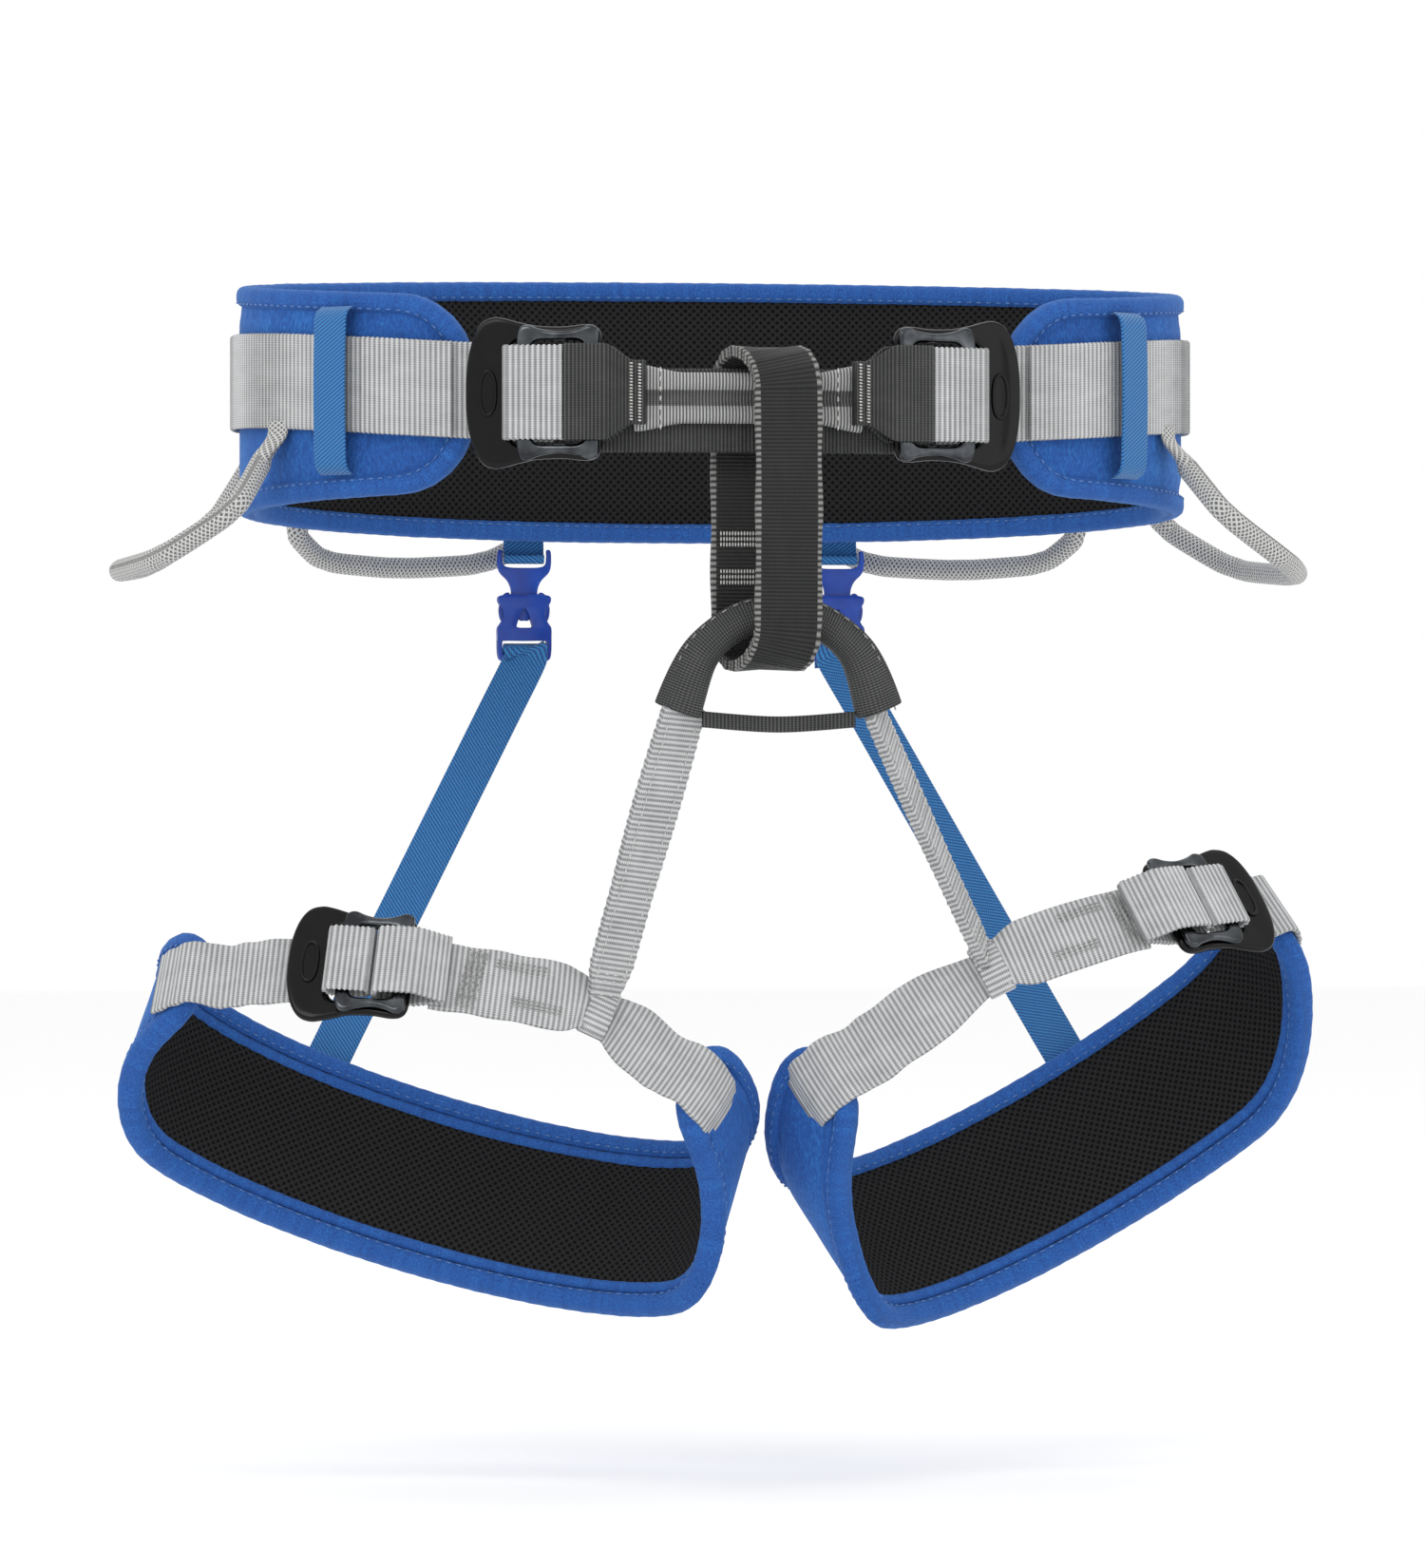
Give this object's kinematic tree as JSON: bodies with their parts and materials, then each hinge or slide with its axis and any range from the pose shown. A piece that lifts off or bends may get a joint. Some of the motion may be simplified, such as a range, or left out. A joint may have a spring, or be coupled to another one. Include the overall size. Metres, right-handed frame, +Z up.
{
  "type": "climbing harness",
  "caption": "Sit harness with padded waist belt, double-plate buckles, belay loop, leg bridge, adjustable padded leg loops, rear elastics and gear loops.",
  "frame": {"origin": "centre of the waist opening at mid height of the waist webbing", "axes": "+Z up along the wearer, +X to the wearer's left, front faces -Y"},
  "size_m": [0.493, 0.2635, 0.4364],
  "materials": {
    "mesh_lining": "spacer mesh",
    "foam": "closed-cell foam",
    "blue_shell": "brushed stretch fabric",
    "blue_tape": "twill tape",
    "blue_plastic": "moulded",
    "anodised_frame": "black, glossy",
    "polished_slider": "dark, polished",
    "dark_webbing": "woven polyamide",
    "cord_sheath": "braided sheath",
    "grey_webbing": "ribbed webbing"
  },
  "bodies": {
    "waist_belt": {"clip_female_left": "blue_plastic", "clip_female_right": "blue_plastic", "clip_male_left": "blue_plastic", "clip_male_right": "blue_plastic", "clip_tapes": "blue_tape", "keeper_loops": "blue_tape", "leg_bridge": "dark_webbing", "leg_bridge_crosspiece": "dark_webbing", "tie_in_anchor_left": "dark_webbing", "tie_in_anchor_right": "dark_webbing", "tie_in_strap_back": "dark_webbing", "tie_in_strap_front": "dark_webbing", "waist_buckle_frame_left": "anodised_frame", "waist_buckle_frame_right": "anodised_frame", "waist_pad_binding": "blue_shell", "waist_pad_foam": "foam", "waist_pad_lining": "mesh_lining", "waist_pad_shell": "blue_shell", "waist_strap_tail_left": "grey_webbing", "waist_strap_tail_right": "grey_webbing", "waist_webbing": "grey_webbing"},
    "belay_loop": {"belay_loop": "dark_webbing"},
    "waist_slider_right": {"waist_buckle_slider_right": "polished_slider", "waist_strap_fold_right": "grey_webbing"},
    "leg_right": {"elastic_riser_right": "blue_tape", "leg_buckle_frame_right": "anodised_frame", "leg_pad_binding_right": "blue_shell", "leg_pad_foam_right": "foam", "leg_pad_lining_right": "mesh_lining", "leg_pad_shell_right": "blue_shell", "leg_riser_right": "grey_webbing", "leg_strap_anchor_right": "grey_webbing", "leg_strap_front_right": "grey_webbing", "leg_strap_inner_right": "grey_webbing", "leg_strap_outer_right": "grey_webbing"},
    "leg_slider_right": {"leg_buckle_slider_right": "polished_slider", "leg_strap_fold_right": "grey_webbing"},
    "clip_prong_inner_right": {"clip_prong_inner_right": "blue_plastic"},
    "clip_prong_outer_right": {"clip_prong_outer_right": "blue_plastic"},
    "gear_loop_front_right": {"gear_loop_front_right": "cord_sheath"},
    "gear_loop_rear_right": {"gear_loop_rear_right": "cord_sheath"},
    "waist_slider_left": {"waist_buckle_slider_left": "polished_slider", "waist_strap_fold_left": "grey_webbing"},
    "leg_left": {"elastic_riser_left": "blue_tape", "leg_buckle_frame_left": "anodised_frame", "leg_pad_binding_left": "blue_shell", "leg_pad_foam_left": "foam", "leg_pad_lining_left": "mesh_lining", "leg_pad_shell_left": "blue_shell", "leg_riser_left": "grey_webbing", "leg_strap_anchor_left": "grey_webbing", "leg_strap_front_left": "grey_webbing", "leg_strap_inner_left": "grey_webbing", "leg_strap_outer_left": "grey_webbing"},
    "leg_slider_left": {"leg_buckle_slider_left": "polished_slider", "leg_strap_fold_left": "grey_webbing"},
    "clip_prong_inner_left": {"clip_prong_inner_left": "blue_plastic"},
    "clip_prong_outer_left": {"clip_prong_outer_left": "blue_plastic"},
    "gear_loop_front_left": {"gear_loop_front_left": "cord_sheath"},
    "gear_loop_rear_left": {"gear_loop_rear_left": "cord_sheath"}
  },
  "joints": [
    {"name": "waist_slider_right_tilt", "type": "hinge", "parent": "waist_belt", "child": "waist_slider_right", "pos_m": [-0.06031, -0.11896, -0.00097], "axis": [0, 0, 1], "range_deg": [0, 12]},
    {"name": "leg_slider_right_tilt", "type": "hinge", "parent": "leg_right", "child": "leg_slider_right", "pos_m": [-0.13156, -0.08268, -0.22651], "axis": [0.1451, 0.4521, 0.8801], "range_deg": [0, 12]},
    {"name": "leg_right_swing", "type": "hinge", "parent": "waist_belt", "child": "leg_right", "pos_m": [-0.025, -0.1118, -0.126], "axis": [1, 0, 0], "range_deg": [-20, 22], "stiffness_Nm_per_rad": 3, "springref_deg": 1.72, "deforming": ["elastic_riser_right"]},
    {"name": "clip_prong_outer_right_squeeze", "type": "hinge", "parent": "waist_belt", "child": "clip_prong_outer_right", "pos_m": [-0.0744, 0.1102, -0.074], "axis": [0, -1, 0], "range_deg": [0, 6], "stiffness_Nm_per_rad": 0.05},
    {"name": "clip_prong_inner_right_squeeze", "type": "hinge", "parent": "waist_belt", "child": "clip_prong_inner_right", "pos_m": [-0.0596, 0.1102, -0.074], "axis": [0, 1, 0], "range_deg": [0, 6], "stiffness_Nm_per_rad": 0.05},
    {"name": "gear_loop_front_right_lift", "type": "hinge", "parent": "waist_belt", "child": "gear_loop_front_right", "pos_m": [-0.18845, 0, -0.027], "axis": [0, 1, 0], "range_deg": [-10, 40], "stiffness_Nm_per_rad": 0.4},
    {"name": "gear_loop_rear_right_lift", "type": "hinge", "parent": "waist_belt", "child": "gear_loop_rear_right", "pos_m": [-0.11286, 0.09995, -0.038], "axis": [0.9231, 0.3845, 0], "range_deg": [-10, 40], "stiffness_Nm_per_rad": 0.4},
    {"name": "waist_slider_left_tilt", "type": "hinge", "parent": "waist_belt", "child": "waist_slider_left", "pos_m": [0.06031, -0.11896, -0.00097], "axis": [0, 0, -1], "range_deg": [0, 12]},
    {"name": "leg_slider_left_tilt", "type": "hinge", "parent": "leg_left", "child": "leg_slider_left", "pos_m": [0.17561, -0.07574, -0.20315], "axis": [0.3215, -0.509, -0.7985], "range_deg": [0, 12]},
    {"name": "leg_left_swing", "type": "hinge", "parent": "waist_belt", "child": "leg_left", "pos_m": [0.05, -0.1118, -0.126], "axis": [1, 0, 0], "range_deg": [-20, 22], "stiffness_Nm_per_rad": 3, "springref_deg": 1.72, "deforming": ["elastic_riser_left"]},
    {"name": "clip_prong_outer_left_squeeze", "type": "hinge", "parent": "waist_belt", "child": "clip_prong_outer_left", "pos_m": [0.0744, 0.1102, -0.074], "axis": [0, 1, 0], "range_deg": [0, 6], "stiffness_Nm_per_rad": 0.05},
    {"name": "clip_prong_inner_left_squeeze", "type": "hinge", "parent": "waist_belt", "child": "clip_prong_inner_left", "pos_m": [0.0596, 0.1102, -0.074], "axis": [0, -1, 0], "range_deg": [0, 6], "stiffness_Nm_per_rad": 0.05},
    {"name": "gear_loop_front_left_lift", "type": "hinge", "parent": "waist_belt", "child": "gear_loop_front_left", "pos_m": [0.18845, 0, -0.027], "axis": [0, -1, 0], "range_deg": [-10, 40], "stiffness_Nm_per_rad": 0.4},
    {"name": "gear_loop_rear_left_lift", "type": "hinge", "parent": "waist_belt", "child": "gear_loop_rear_left", "pos_m": [0.11286, 0.09995, -0.038], "axis": [0.9231, -0.3845, 0], "range_deg": [-10, 40], "stiffness_Nm_per_rad": 0.4},
    {"name": "belay_loop_swivel", "type": "hinge", "parent": "waist_belt", "child": "belay_loop", "pos_m": [0.007, -0.1158, 0], "axis": [0, 0, 1], "range_deg": [-8, 5]}
  ],
  "couplings": [
    {"joint": "clip_prong_inner_right_squeeze", "follows": "clip_prong_outer_right_squeeze", "ratio": 1},
    {"joint": "clip_prong_inner_left_squeeze", "follows": "clip_prong_outer_left_squeeze", "ratio": 1}
  ]
}
